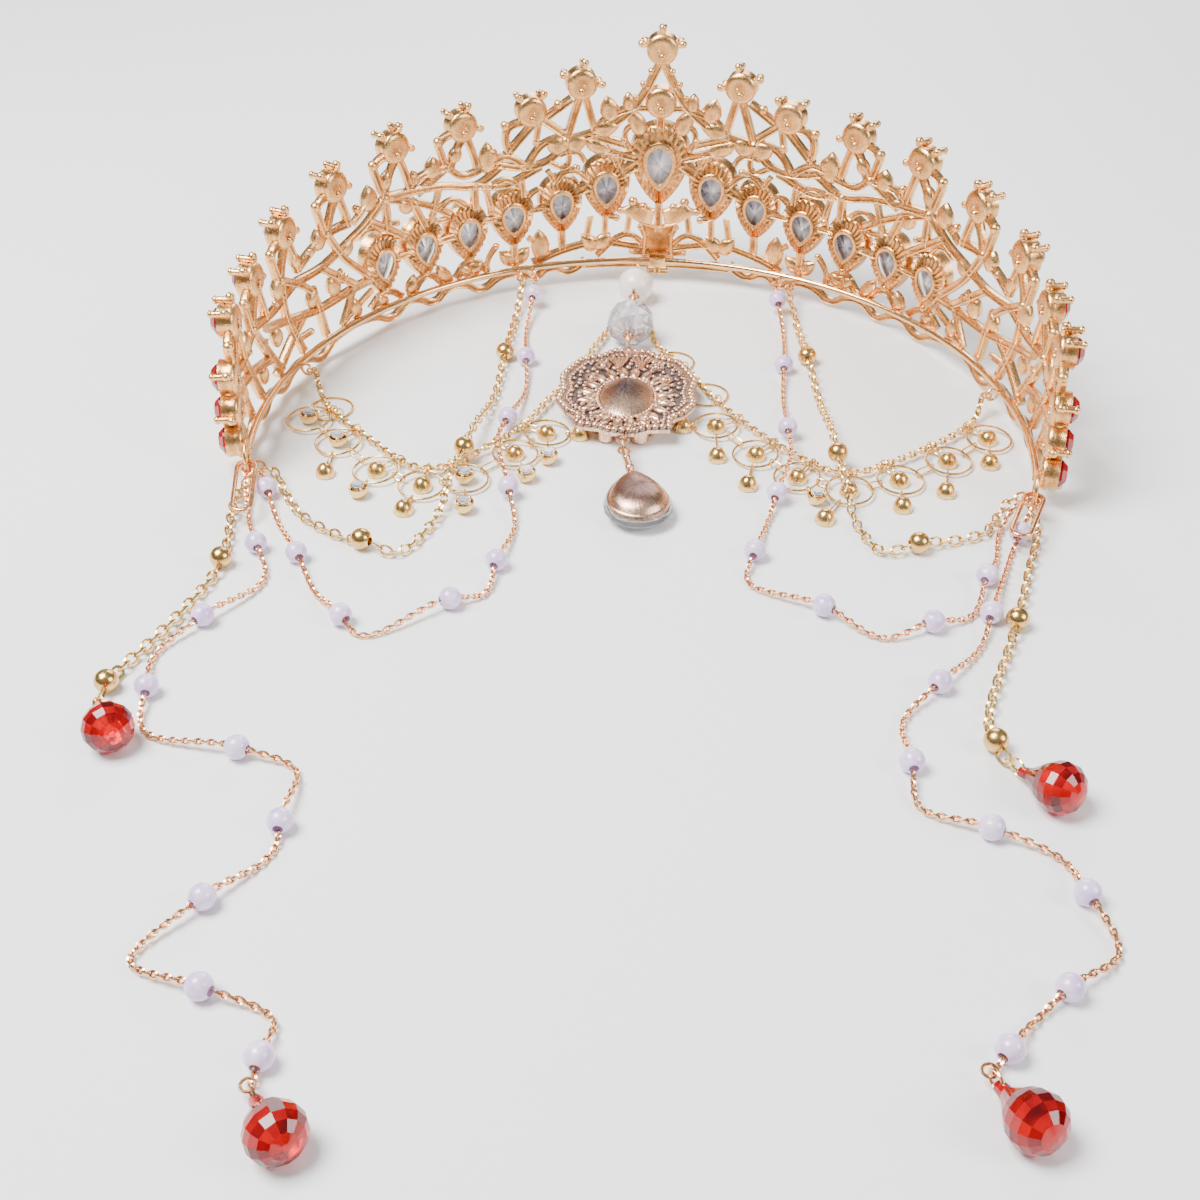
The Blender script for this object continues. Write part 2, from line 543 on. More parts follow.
# Bars as one curve with a grooved section, flat on the side that faces the head
def cast(groups, name):
    section, sectionData = newCurve("section", "2D")
    polyline(sectionData, [(x, y, 0) for x, y in wall["section"]]).use_cyclic_u = True
    curve, data = newCurve(name)
    data.twist_mode = "Z_UP"
    data.bevel_mode = "OBJECT"
    data.bevel_object = section
    data.use_fill_caps = True
    for width, row in [(width, row) for width, rows in groups for row in rows]:
        corners = list(zip(row[::2], row[1::2]))
        path = corners[:1]                      # straight runs, rounded at the corners
        for before, knee, after in zip(corners, corners[1:], corners[2:]):
            for other in (before, after):
                share = min(wall["bendShare"], wall["bendReach"] / dist(knee, other))
                path.append(Vector(knee).lerp(Vector(other), share))
        path = path + corners[-1:]
        spline = data.splines.new("BEZIER")
        spline.bezier_points.add(len(path) - 1)
        spline.resolution_u = 5
        for i, (knot, point) in enumerate(zip(spline.bezier_points, path)):
            knot.co = (point[0], point[1], 0)
            knot.handle_left_type = knot.handle_right_type = "AUTO"
            swell = wall["endSwell"] if i in (0, len(path) - 1) else wall["swell"]
            knot.radius = width / wall["sectionWide"] * swell
    made = meshed(curve)
    drop(section)
    return made


def roundCup(u, z, prongs):
    parts = [loft(circle(wall["cupRadius"], 24), wall["cupProfile"])]
    parts += [ball(radius, move(*place), squash) for radius, place, squash in wall["cupBumps"]]
    for angle in prongs:
        swung = turn(angle, "Z")
        upright = swung @ move(wall["stemOut"], 0)
        level = swung @ move(0, 0, wall["armHeight"]) @ turn(90, "Y")
        parts += [placed(loft(circle(wall["stemRadius"], 10), wall["stem"]), upright),
                  placed(loft(circle(wall["armRadius"], 10), wall["arm"]), level)]
        parts += [ball(radius, swung @ move(*place), squash) for radius, place, squash in wall["tips"]]
    return placed(joined(parts, "cup"), move(u, z))


def pearSetting(u, low, high, halfWide):
    outline = [Vector(corner) for corner in pear(halfWide, (high - low) / 2, 56)]
    made = loft(outline, wall["pearProfile"], True)
    raised, sunk, wider = wall["ribs"]
    for vert in made.data.vertices:             # ribs of the halo, one to every second corner
        flat = vert.co.to_2d()
        column = max(range(len(outline)), key=lambda k: outline[k].dot(flat) / outline[k].length)
        edge = outline[column].length
        if 0.62 * edge < flat.length < edge and vert.co.z < 0.7:
            rib = column % 2 == 0
            grow = wider if rib else 1
            vert.co = (flat.x * grow, flat.y * grow, vert.co.z - sunk if rib else vert.co.z + raised)
    return placed(made, move(u, (low + high) / 2))


def castLeaf(u, z, lean, length, width):
    outline = [(x * width / 2, (y - 0.5) * length) for x, y in wall["leafEdge"]]
    return placed(loft(outline, wall["leafProfile"]), move(u, z) @ turn(-lean, "Z") @ move(0, length / 2))


unitCups = [[u, z, wall["unitProngs"]] for u, z in wall["unitCups"]]
legs = [[1.4, [[value for x, y in leg for value in (u + x, z + y)]
               for u, z, prongs in unitCups for leg in wall["unitLegs"]]]]
side = [cast(wall["bars"] + wall["scrolls"] + legs, "bars")]
side += [castLeaf(*row) for row in wall["leaves"]]
side += [ball(radius, move(u, z, 0.55), 0.95) for u, z, radius in wall["balls"]]
x, y, radius = wall["unitBall"]
side += [ball(radius, move(u + x, z + y, 0.6)) for u, z, prongs in unitCups]
side += [roundCup(*row) for row in wall["peakCups"] + unitCups]
side += [pearSetting(*row) for row in wall["pears"]]
# Wing beside the middle pear, with three bumps along its top
side.append(placed(loft(wall["wingEdge"], wall["wingProfile"]), move(5, 16.3)))
side += [ball(radius, move(u, z, 0.5)) for u, z, radius in wall["wingBalls"]]
halfWall = joined(side, "half wall")
middle = [halfWall, copied(halfWall, Matrix.Scale(-1, 4, (1, 0, 0)))]
middle += [roundCup(*row) for row in wall["midCups"]]
vase = placed(loft(wall["vaseEdge"], wall["vaseProfile"]), move(0, 10.2))
middle += [pearSetting(*wall["midPear"]), vase, cast(wall["stems"], "stems")]
crown = joined(middle, "crown")
for vert in crown.data.vertices:
    u, z, out = vert.co
    vert.co = onWall(u, z, wallR + out)


# Round wire through points
def wire(points, diameter, name, resolution=3):
    curve, data = newCurve(name)
    data.bevel_depth = diameter / 2
    data.bevel_resolution = resolution
    data.use_fill_caps = True
    polyline(data, points)
    return meshed(curve)


rim = {"wire": 1.5, "height": 5.3, "radius": 75.2, "reach": 98, "loop": [3.0, 1.0], "loopOut": 3.4,
       "hang": [1.2, 0.6], "hangHeight": 4.4, "hangRadius": 73.45, "hangs": [29.6, 33, 97],
       "pendantHang": -4.5,
       "blockEdge": [(-1.8, -1.2), (-1.8, 1.2), (1.8, 1.2), (1.8, -1.2)],
       "blockProfile": [(0.82, -1.0), (1, -0.85), (1, 0.85), (0.82, 1.0)]}
loopU = wallR * radians(rim["reach"]) + rim["loopOut"]
rimWire = wire([onWall(wallR * radians(a), rim["height"], rim["radius"])
                for a in range(-rim["reach"], rim["reach"] + 1, 2)], rim["wire"], "rim_wire_dressed", 4)
finished([rimWire], "rim_wire_dressed", (wireMetal, "cast_metal"), ["crown_frame"])
parts = [crown]
for s in (-1, 1):
    parts.append(ring(*rim["loop"], atWall(s * loopU, rim["height"], rim["radius"]), 32, 10))
for u in [s * u for s in (-1, 1) for u in rim["hangs"]] + [rim["pendantHang"]]:
    parts.append(ring(*rim["hang"], atWall(u, rim["hangHeight"], rim["hangRadius"]) @ turn(90, "Y")))
parts.append(placed(loft(rim["blockEdge"], rim["blockProfile"]), atWall(0, rim["height"], rim["radius"])))
finished(parts, "crown", (castMetal, "cast_metal"), ["crown_frame"])
print("crown bent and joined")

# Chains: one link of each kind, copied along its route. A row of a route is x, y, z and where the
# bead lies on the way to the next row. Without z it lies on the table, and the last may be left out.
chains = {
    "curb": {
        "long": 1.8, "wide": 1.25, "wire": 0.4, "pitch": 1.08, "twist": 35, "start": 0.5, "rest": 0.55,
        "low": 0.75},
    "fringeCurb": {
        "long": 2.2, "wide": 1.6, "wire": 0.5, "pitch": 1.38, "twist": 35, "start": 0.4, "rest": 0.75,
        "low": 0.75},
    "cable": {
        "long": 2.9, "wide": 2.1, "wire": 0.45, "pitch": 1.95, "twist": 0, "start": 0.8, "rest": 1,
        "low": 1.1},
    "eye": [1, 0.5],
    "pearl_swag": {
        "link": "curb", "turn": 4,
        "left": [[-27.1, 66, 4.4, 0.32], [-27.5, 48, 2, 0.54], [-24.8, 22.5, 2, 0.68],
            [-27.6, 0.5, 3.8, 0.62], [-21.5, -26.5, 2, 0.59], [-24.5, -47, 2, 0.26], [-45, -59, 2, 0.31],
            [-53.5, -49, 2, 0.45], [-66, -26.5, 2, 0.62], [-71.3, -14.9, 2.4], [-72.7, -13.8, 2.3]],
        "right": [[27.1, 66, 4.4, 0.3], [29, 50, 2, 0.54], [28.5, 22, 2, 0.55], [29.4, -2.5, 3.4, 0.64],
            [25, -21, 2, 0.63], [21, -39, 2, 0.56], [44.5, -54, 2, 0.56], [58.6, -47.6, 2, 0.64],
            [65.4, -30.5], [67.2, -21.5], [71.3, -14.9, 2.4], [72.7, -13.8, 2.3]]},
    "gold_swag": {
        "link": "cable", "turn": -28,
        "left": [[-30, 64.7, 4.4], [-30.5, 54, 2, 0.5], [-31, 18], [-33, 2, 3.7, 0.42], [-34.8, -14, 3.7],
            [-36.6, -27], [-42.2, -36.6, 2, 0.7], [-51, -33], [-61.8, -25.5], [-66, -19], [-69, -14.2, 2.3],
            [-73, -12.2, 2.65]],
        "right": [[30, 64.7, 4.4], [32, 54, 2, 0.47], [35.8, 22], [37.6, 6, 3.7, 0.42], [39.4, -12, 3.7],
            [41.4, -22.5], [46, -30, 2, 0.5], [57.7, -25.8], [64.3, -22.5], [67.4, -17], [70, -13.5, 2.3],
            [73, -12.2, 2.65]]},
    "pearl_tassel": {
        "link": "curb", "turn": 62,
        "left": [[-73.4, -17.3, 3.9], [-72.6, -21, 2.2], [-70.6, -28, 2, 0.5], [-63.5, -45, 2, 0.57],
            [-76.5, -67.5, 2, 0.52], [-73.5, -84.5, 2, 0.64], [-47.5, -92, 2, 0.78],
            [-46.5, -107.5, 2, 0.52], [-61, -130, 2, 0.5], [-39.5, -138.5, 2, 0.66], [-40, -147.4]],
        "right": [[73.4, -17.6, 3.9], [71.6, -20.6, 2.5, 0.5], [69, -26.6], [66.8, -33.5, 2, 0.64],
            [60, -55, 2, 0.55], [45.5, -75, 2, 0.54], [46.5, -93, 2, 0.51], [66, -102.5, 2, 0.43],
            [71, -118.5, 2, 0.63], [58.5, -130.5, 2, 0.68], [52, -139]]},
    "beadGap": 1.7, "eyeRadius": 72.25, "redRing": [1.5, 0.5], "redHeight": 1.8
}


def chainLink(kind):
    look = chains[kind]
    thick = look["wire"]
    stretch = (look["long"] - thick) / (look["wide"] - thick)
    made = torus((look["wide"] - thick) / 2, thick, 10, 4, (stretch, 1, 1))
    if look["twist"]:                           # a curb link is twisted to lie flat
        twist = made.modifiers.new("twist", "SIMPLE_DEFORM")
        twist.deform_method = "TWIST"
        twist.deform_axis = "X"
        twist.angle = radians(look["twist"])
        bpy.ops.object.modifier_apply(modifier="twist")
    return made


links = {kind: chainLink(kind) for kind in ("curb", "fringeCurb", "cable")}
eye = chains["eye"]


def layLinks(kind, points, beads):
    look, parts = chains[kind], []
    for i, (place, way) in enumerate(smoothRoute(points, look["pitch"], look["start"])):
        if all((place - bead).length >= chains["beadGap"] for bead in beads):
            place.z = max(place.z, look["rest"])
            parts.append(copied(links[kind], aimed(place, way, 45 if i % 2 else -45)))
    return parts


def hangEye(s, u):
    return ring(*eye, atWall(s * u, rim["hangHeight"], chains["eyeRadius"]) @ turn(90, "X"), 16, 6)


def loopEye(s, lean):
    place = atWall(loopU, rim["height"], rim["radius"]) @ turn(lean, "Z") @ move(0, -3) @ turn(90, "Y")
    made = ring(*eye, place, 16, 6)
    if s < 0:
        made.data.transform(Matrix.Scale(-1, 4, (1, 0, 0)))
    return made


def redRing(x, y, heading):
    place = move(x, y, chains["redHeight"]) @ turn(heading, "Z") @ turn(90, "X")
    return ring(*chains["redRing"], place, 20, 6)


def beadedChain(kind, rows):
    points, beads = [], []
    rows = [row + [2, 0][len(row) - 2:] for row in rows]
    for row, following in zip(rows, rows[1:] + rows[-1:]):
        points.append((row[0], row[1], chains[kind]["low"] if row[2] == 2 else row[2]))
        if row[3] > 0:
            beads.append(Vector(row[:3]).lerp(Vector(following[:3]), row[3]))
            points.append(beads[-1])
    return layLinks(kind, points, beads)


sides = {"left": -1, "right": 1}
redPlaces = {"red_drop_pearl_left": (-39.3, -149.8, -54), "red_drop_pearl_right": (51.8, -141.1, -63)}
for name, s in sides.items():
    x, y, heading = redPlaces["red_drop_pearl_" + name]
    lastEye = move(x, y, 2.0) @ turn(heading, "Z") @ move(-1.5, 0) @ turn(-heading, "Z")
    ends = {"pearl_swag": [hangEye(s, rim["hangs"][0])], "gold_swag": [hangEye(s, rim["hangs"][1])],
            "pearl_tassel": [redRing(x, y, heading), ring(*eye, lastEye, 16, 6)]}
    for kind, extra in ends.items():
        row = chains[kind]
        parts = beadedChain(row["link"], row[name]) + extra + [loopEye(s, row["turn"])]
        finish = yellow if kind == "gold_swag" else rose
        finished(parts, f"{kind}_{name}", finish, [f"{kind}_chain_{name}"])
print("pearl and gold chains laid")

# Gold tassels: runs of free links between two beads and the red drop
tassels = {
    "left": {
        "runs": [11, 14, 1], "redTurn": -56,
        "route": [[-73.6, -15.4], [-74.3, -18.5], [-74.6, -22], [-74.3, -26], [-73.6, -30], [-72.8, -34],
            [-72.3, -38], [-72.1, -42], [-72.5, -46], [-73.3, -50], [-74.4, -54], [-75.6, -58], [-77, -62],
            [-78.5, -66], [-80.2, -70], [-81.4, -73.4], [-81.9, -76.5], [-81.9, -79.5], [-81.2, -82.5],
            [-79.8, -86]]},
    "right": {
        "runs": [15, 12, 1], "redTurn": -50,
        "route": [[73.6, -15.4], [73.9, -18.5], [73.7, -22], [72.9, -26], [71.7, -30], [70.5, -34],
            [69.3, -39], [67.9, -44], [66.5, -49], [64.8, -54.5], [62.9, -60], [61, -65.5], [59.6, -70],
            [58.8, -74], [58.8, -77.5], [59.8, -81], [61.6, -84.5], [63.6, -87.8]]},
    "start": 1.35, "pitch": 2, "beadReach": 2.9, "redGap": 1.5, "height": 1.15, "long": 3.2, "wide": 2.2,
    "turn": 33
}
longer, wider = [tassels[key] / chains["cable"][key] for key in ("long", "wide")]
links["oval"] = scaled(chainLink("cable"), longer, wider, 1)
for name, s in sides.items():
    pitch, reach = tassels["pitch"], tassels["beadReach"]
    route, way, parts = tassels[name]["route"], tassels["start"], []
    for count in tassels[name]["runs"]:
        for i in range(count):
            x, y, heading = along(route, way + i * pitch)
            roll = turn(45 if i % 2 else -45, "X")
            parts.append(copied(links["oval"], move(x, y, tassels["height"]) @ turn(heading, "Z") @ roll))
        way += pitch * (count + 1) + 2 * reach
    x, y, heading = along(route, way - 2 * pitch - 2 * reach + tassels["redGap"])
    redPlaces["red_drop_gold_" + name] = (x, y, tassels[name]["redTurn"])
    parts += [redRing(x, y, heading), loopEye(s, tassels["turn"])]
    finished(parts, "gold_tassel_" + name, yellow, ["gold_tassel_links_" + name])
print("gold tassels laid")

# The fringe: two chains with rings, cups and oval links. A ring is its place along the route, its
# heading and 1 if its cup's stone is up. A cup is the number of its ring, its heading, its reach and
# the same 1 or 0. A flat ring is its place and its heading. A route without z runs at the height.
fringe = {
    "left": {
        "route": [[-68.3, 20.7, 4.4], [-66.6, 16.5], [-63.6, 11.3], [-52, -1.1], [-45.9, -7], [-42.4, -9.1],
            [-39.4, -9.4], [-36.4, -8], [-34.8, -6.5, 1.35], [-33.8, -5.4, 0.9], [-32.6, -4.1, 0.9],
            [-31.2, -2.7], [-24.1, 6.5], [-20.1, 16.5], [-14.2, 31.3], [-10.8, 44], [-7.4, 52.4],
            [-5.4, 53.9, 2.1]],
        "rings": [[11.8, -146, 1], [21, -126, 1], [36, -144, 0], [42.5, -96, 0], [46.8, -50, 1],
            [58.5, -38, 0], [66.5, -20, 0]],
        "cups": [[1, -92, 6, 0], [2, -103, 3.6, 1], [3, -106, 3.6, 0], [4, -83, 5.3, 1], [5, -69, 4.1, 1],
            [6, -83, 5.1, 1], [6, 4, 2.1, 0]],
        "flat": [[13.6, 122]], "turn": -55},
    "right": {
        "route": [[68.3, 20.7, 4.4], [67, 17], [64.4, 12.9], [58.7, 7], [52.9, 2.2], [47, -2], [43.6, -4.2],
            [40.5, -5.1], [37.2, -4.6], [33.6, -2.2], [29.6, 1.4], [25.6, 5.6], [19.6, 13], [14.4, 20.6],
            [9.1, 30.9], [1.2, 43.3], [-1.6, 53.4], [-3.4, 55.2, 1.3]],
        "rings": [[8, -42, 0], [19.5, -52, 0], [31.5, -56, 0], [39, -92, 0], [46.5, -126, 0],
            [56.5, -136, 0], [67.5, -154, 0]],
        "cups": [[0, -95, 4.1, 0], [1, -98, 6, 0], [2, -91, 3.9, 0], [3, -118, 6, 0], [4, -64, 3.6, 1],
            [5, -98, 6, 0], [6, -87, 6.4, 0], [6, 182, 2.1, 0]],
        "flat": [[76, 117], [91, 121]], "turn": -20},
    "ring": 4.4, "wire": 0.5, "out": 5.4, "drop": 0.6, "height": 1.4, "cupReach": 5.2, "cup": 1.9,
    "ovalWide": 1.9, "ovalIn": 0.7, "bailWide": 1.5, "lift": 0.15, "eye": 1.15, "bailWire": 0.36,
    "eyeIn": 0.35, "claws": [45, 135, 225, 315], "domeRise": 1.32, "foot": [0.42, (1.62, 0, 0.42)],
    "bow": (1.86, 2.45), "bowSteps": [8, 28, 48, 66], "bowWire": 0.34, "tip": [0.4, (1.55, 0, 2.45)],
    "openProfile": [(0.32, 0), (0.5, 0.05), (0.76, 0.4), (0.96, 1.1), (1, 2), (0.97, 2.25), (0.84, 2.2),
        (0.72, 1.85), (0.1, 1.35)]
}
cupWalls = fringe["cup"] - fringe["bailWire"]


# Little cup seen from behind: a gold dome with four claws round its foot
def domeCup():
    parts = [edited(ball(fringe["cup"], unmoved, fringe["domeRise"], 16, 12), (bpy.ops.mesh.bisect, {
        "plane_co": (0, 0, 0.05), "plane_no": (0, 0, 1), "clear_inner": True, "use_fill": True}))]
    footRadius, foot = fringe["foot"]
    out, rise = fringe["bow"]
    bow = [(out * cos(a), 0, rise * sin(a)) for a in [radians(step) for step in fringe["bowSteps"]]]
    for angle in fringe["claws"]:
        parts += [ball(footRadius, turn(angle, "Z") @ move(*foot), 1, 8, 6),
                  placed(wire(bow, fringe["bowWire"], "claw", 1), turn(angle, "Z"))]
    return joined(parts, "dome cup")


# Little cup with its stone up
def openCup():
    radius, tip = fringe["tip"]
    parts = [loft(circle(fringe["cup"], 16), fringe["openProfile"])]
    parts += [ball(radius, turn(angle, "Z") @ move(*tip), 0.8, 8, 6) for angle in fringe["claws"]]
    return joined(parts, "open cup")


cupModels = [domeCup(), openCup()]


# A ring pulled apart along one axis
def pulled(link, axis, reach):
    for vert in link.data.vertices:
        vert.co[axis] += copysign(reach, vert.co[axis])
    return link


# Standing oval link from one x to another
def bail(start, end, wide, place):
    thick = fringe["bailWire"]
    length = max(end - start, wide + 0.1)
    link = pulled(ring((wide - thick) / 2, thick, unmoved, 16, 6), 0, (length - wide) / 2)
    return placed(link, place @ move((start + end) / 2, 0) @ turn(90, "X"))


def standingEye(place):
    return ring(fringe["eye"], fringe["bailWire"], place @ turn(90, "X"), 16, 6)


for name, s in sides.items():
    row, height, wide = fringe[name], fringe["height"], fringe["ring"]
    route = [point + [height][len(point) - 2:] for point in row["route"]]
    chain = layLinks("fringeCurb", route, [])
    lastEye = move(-4.4, 56.3, 4) @ turn(-row["turn"], "X") @ move(0, 0, -3) @ turn(90, "X")
    chain += [hangEye(s, rim["hangs"][2]), ring(0.9, 0.4, lastEye, 16, 6)]
    finished(chain, "fringe_chain_dressed_" + name, yellow, ["fringe_chain_" + name])
    parts, centres = [], []
    tilt = turn(degrees(asin(fringe["drop"] / 2 / wide)), "Y")
    for way, heading, up in row["rings"]:
        x, y = along(route, way)[:2]
        foot = move(x, y, height) @ turn(heading, "Z")
        a = radians(heading)
        centres.append((x + fringe["out"] * cos(a), y + fringe["out"] * sin(a)))
        hung = foot @ move(1, 0) @ tilt @ move(wide, 0)
        parts += [standingEye(foot @ move(fringe["eyeIn"], 0)),
                  ring(wide, fringe["wire"], hung, 32, 8),
                  bail(fringe["eye"], fringe["cupReach"] - cupWalls, fringe["bailWide"], foot),
                  copied(cupModels[up], foot @ move(fringe["cupReach"], 0, fringe["lift"] - height))]
    for number, heading, out, up in row["cups"]:
        x, y = centres[number]
        place = move(x, y) @ turn(heading, "Z") @ move(wide, 0)
        swing = cos(radians(heading - row["rings"][number][1]))
        hang = move(0, 0, height - fringe["drop"] * (1 + swing) / 2)
        parts += [bail(-fringe["ovalIn"], out - cupWalls, fringe["bailWide"], place @ hang),
                  copied(cupModels[up], place @ move(out, 0, fringe["lift"]))]
    for a, b in zip(centres, centres[1:]):
        half = dist(a, b) / 2 - wide + fringe["ovalIn"]
        heading = degrees(atan2(b[1] - a[1], b[0] - a[0]))
        place = move((a[0] + b[0]) / 2, (a[1] + b[1]) / 2, height - fringe["drop"] / 2) @ turn(heading, "Z")
        parts.append(bail(-half, half, fringe["ovalWide"], place))
    for way, heading in row["flat"]:
        x, y = along(route, way)[:2]
        foot = move(x, y) @ turn(heading - 90, "Z")
        parts += [ring(wide, fringe["wire"], foot @ move(0, wide, 0.25), 32, 8),
                  standingEye(foot @ move(0, 0, height))]
    finished(parts, "fringe_rings_" + name, yellow, ["fringe_cups_" + name])
print("fringe laid")

# Long oval links beyond the end loops: side, lean, tilt
endLinks = {"left": [-1, 8, 9], "right": [1, 20, 2], "long": 14.3, "wide": 4.4, "wire": 0.9,
            "beyond": 3, "height": 5.2, "above": 1.65}
long, wide, thick = endLinks["long"], endLinks["wide"], endLinks["wire"]
for name in ("left", "right"):
    s, lean, tilt = endLinks[name]
    link = pulled(ring((wide - thick) / 2, thick, unmoved, 28, 10), 1, (long - wide) / 2)
    hung = move(*onWall(s * (loopU + endLinks["beyond"]), endLinks["height"], rim["radius"]))
    placed(link, hung @ turn(-s * lean, "Z") @ turn(tilt, "X") @ move(0, endLinks["above"] - long / 2))
    finished([link], "end_link_dressed_" + name, rose, ["end_link_" + name])

# The filigree brooch, its back to the table. A row of beads is its share of the edge, pitch, radius,
# squash, segments and rings.
brooch = {
    "centre": (-3.5, 17.5), "top": 4.4,
    "edge": [[2.6, -15.4], [5, -14], [9.3, -13.5], [9.4, -10], [12, -8], [14, -4.2], [13.2, 0.3], [14, 5.3],
        [12.4, 9], [10.4, 12.7], [5.8, 14.4], [3.6, 16.8]],
    "plate": [(0.96, 2.8), (1, 3.1), (1, 3.9), (0.95, 4.3), (0.9, 4.35), (0.86, 4.05), (0.5, 4)],
    "borders": [[0.97, 1.42, 0.74, 0.95, 10, 7], [0.86, 1, 0.42, 0.9, 8, 6]], "border": 4.35,
    "cone": {
        "centre": (0.1, -2.8), "size": (5.5, 7.5), "height": 3, "lean": 2.4, "beadRow": (5.9, 7.9),
        "beadPitch": 0.95, "bead": 0.46, "beadHeight": 4.5,
        "profile": [(0.8, 0.3), (1, 2.8), (1, 4.4), (0.97, 4.75), (0.78, 5.3), (0.54, 6), (0.3, 6.75),
            (0.12, 7.3), (0.03, 7.4)]},
    "petals": 20, "petal": [4.2, 2.1], "petalRow": (8.1, 10), "petalsBelow": 12, "petalHeight": 4.45,
    "petalProfile": [(0.9, -0.5), (1, -0.1), (0.85, 0.3), (0.5, 0.55), (0.15, 0.62)],
    "bosses": [[6.9, -4.2], [7.4, 4.6], [5.6, 9.6], [4.4, -10.4]], "boss": 0.75, "bossRing": [1.3, 0.6],
    "feet": [[5.2, -8.6], [3.4, -12], [8.6, 9.4]], "foot": 1.7,
    "footProfile": [(0.8, 0.2), (1, 0.5), (1, 2.5), (0.9, 3)], "fan": [62, 74, 86, 98, 110],
    "fanFrom": (2.2, 8.6), "fanBar": [(0, 4.45), (2.2, 4.8), (4.8, 4.5)], "fanWire": 0.6,
    "tries": 6000, "field": [(-14, 14), (-15, 15.5)], "bare": 0.84, "clear": (6.5, 8.5), "grainGap": 1.25,
    "grain": (0.45, 0.66), "grainHeight": 4.22, "bead": 1.8, "beadPlace": (0, 15.4),
    "beadProfile": [(0.9, 2.8), (1, 3.1), (1, 4.2), (0.8, 4.7), (0.3, 4.9)],
    "necks": [[(-4.4, 33.4, 3.6), (-4.4, 36, 3.8)], [(-3.3, 3.6, 3.5), (-3.3, 1.9, 3.4)]], "neck": 1.3,
    "upperRing": (-4.4, 37.3, 5), "lowerRing": (-3.3, 1, 3.2)
}


def evenly(points, pitch):
    rows, way, want = [], 0.0, 0.0
    for a, b in zip(points, points[1:] + points[:1]):
        length = dist(a, b)
        while want < way + length:
            t = (want - way) / length
            rows.append((a[0] + (b[0] - a[0]) * t, a[1] + (b[1] - a[1]) * t))
            want += pitch
        way += length
    return rows


def isInside(x, y, points):
    odd = False
    for a, b in zip(points, points[1:] + points[:1]):
        if (a[1] > y) != (b[1] > y) and x < (b[0] - a[0]) * (y - a[1]) / (b[1] - a[1]) + a[0]:
            odd = not odd
    return odd


edge = brooch["edge"] + [[-x, y] for x, y in reversed(brooch["edge"])]
parts = [loft(edge, brooch["plate"])]
for share, pitch, radius, squash, segments, rings in brooch["borders"]:
    for x, y in evenly([(x * share, y * share) for x, y in edge], pitch):
        parts.append(ball(radius, move(x, y, brooch["border"]), squash, segments, rings))
cone = brooch["cone"]
centreX, centreY = cone["centre"]
petalLong, petalWide = brooch["petal"]
petalEdge = [(x * petalWide / 2, (y - 0.5) * petalLong) for x, y in wall["leafEdge"]]
petal = loft(petalEdge, brooch["petalProfile"])
for k in range(brooch["petals"]):
    a = 2 * pi * (k + 0.5) / brooch["petals"]
    outX, outY = brooch["petalRow"][0] * cos(a), brooch["petalRow"][1] * sin(a)
    if centreY + outY < brooch["petalsBelow"]:
        heading = degrees(atan2(outY, outX))
        place = move(centreX + outX, centreY + outY, brooch["petalHeight"]) @ turn(heading - 90, "Z")
        parts.append(copied(petal, place))
drop(petal)
beadRow = [(centreX + x, centreY + y) for x, y in ellipse(*cone["beadRow"], 40)]
for x, y in evenly(beadRow, cone["beadPitch"]):
    parts.append(ball(cone["bead"], move(x, y, cone["beadHeight"]), 0.95, 8, 6))
shell = loft(ellipse(*cone["size"], 32), cone["profile"])
for vert in shell.data.vertices:
    vert.co.y += cone["lean"] * max(0.0, (vert.co.z - brooch["top"]) / cone["height"])
parts.append(placed(shell, move(centreX, centreY)))
fanX, fanY = brooch["fanFrom"]
for s in (-1, 1):
    for x, y in brooch["bosses"]:
        parts += [ring(*brooch["bossRing"], move(s * x, y, 4.6), 20, 8),
                  ball(brooch["boss"], move(s * x, y, 4.5), 0.9)]
    for x, y in brooch["feet"]:
        parts.append(placed(loft(circle(brooch["foot"], 20), brooch["footProfile"]), move(s * x, y)))
    for angle in brooch["fan"]:                 # fan of bars towards the head
        c, d = cos(radians(angle)), sin(radians(angle))
        bar = [(s * (fanX + out * c), fanY + out * d, high) for out, high in brooch["fanBar"]]
        parts.append(wire(bar, brooch["fanWire"], "fan", 2))
spots = []
clearX, clearY = brooch["clear"]
for k in range(brooch["tries"]):                # grains wherever the plate is bare
    x, y = [random.uniform(*limits) for limits in brooch["field"]]
    bare = isInside(x / brooch["bare"], y / brooch["bare"], edge)
    if not bare or hypot(x / clearX, (y - centreY) / clearY) < 1:
        continue
    if all(dist((x, y), spot) > brooch["grainGap"] for spot in spots):
        spots.append((x, y))
        radius = random.uniform(*brooch["grain"])
        parts.append(ball(radius, move(x, y, brooch["grainHeight"]), 0.95, 8, 6))
parts.append(placed(loft(circle(brooch["bead"], 20), brooch["beadProfile"]), move(*brooch["beadPlace"])))
made = joined(parts, "brooch_dressed")
made.data.transform(move(*brooch["centre"]))
parts = [made, ring(1.6, 0.6, move(*brooch["upperRing"]) @ turn(90, "Y")),
         ring(1.1, 0.6, move(*brooch["lowerRing"]), 20, 8)]
parts += [wire(points, brooch["neck"], "neck") for points in brooch["necks"]]
filigree = filigreeFinish(
    "granulated filigree", centre=(-0.0034, 0.0166), top=0.0043, apex=0.0068, smoke=(0.09, 0.08, 0.1))
finished(parts, "brooch_dressed", (filigree, "filigree_metal"), ["brooch"])
print("brooch made")

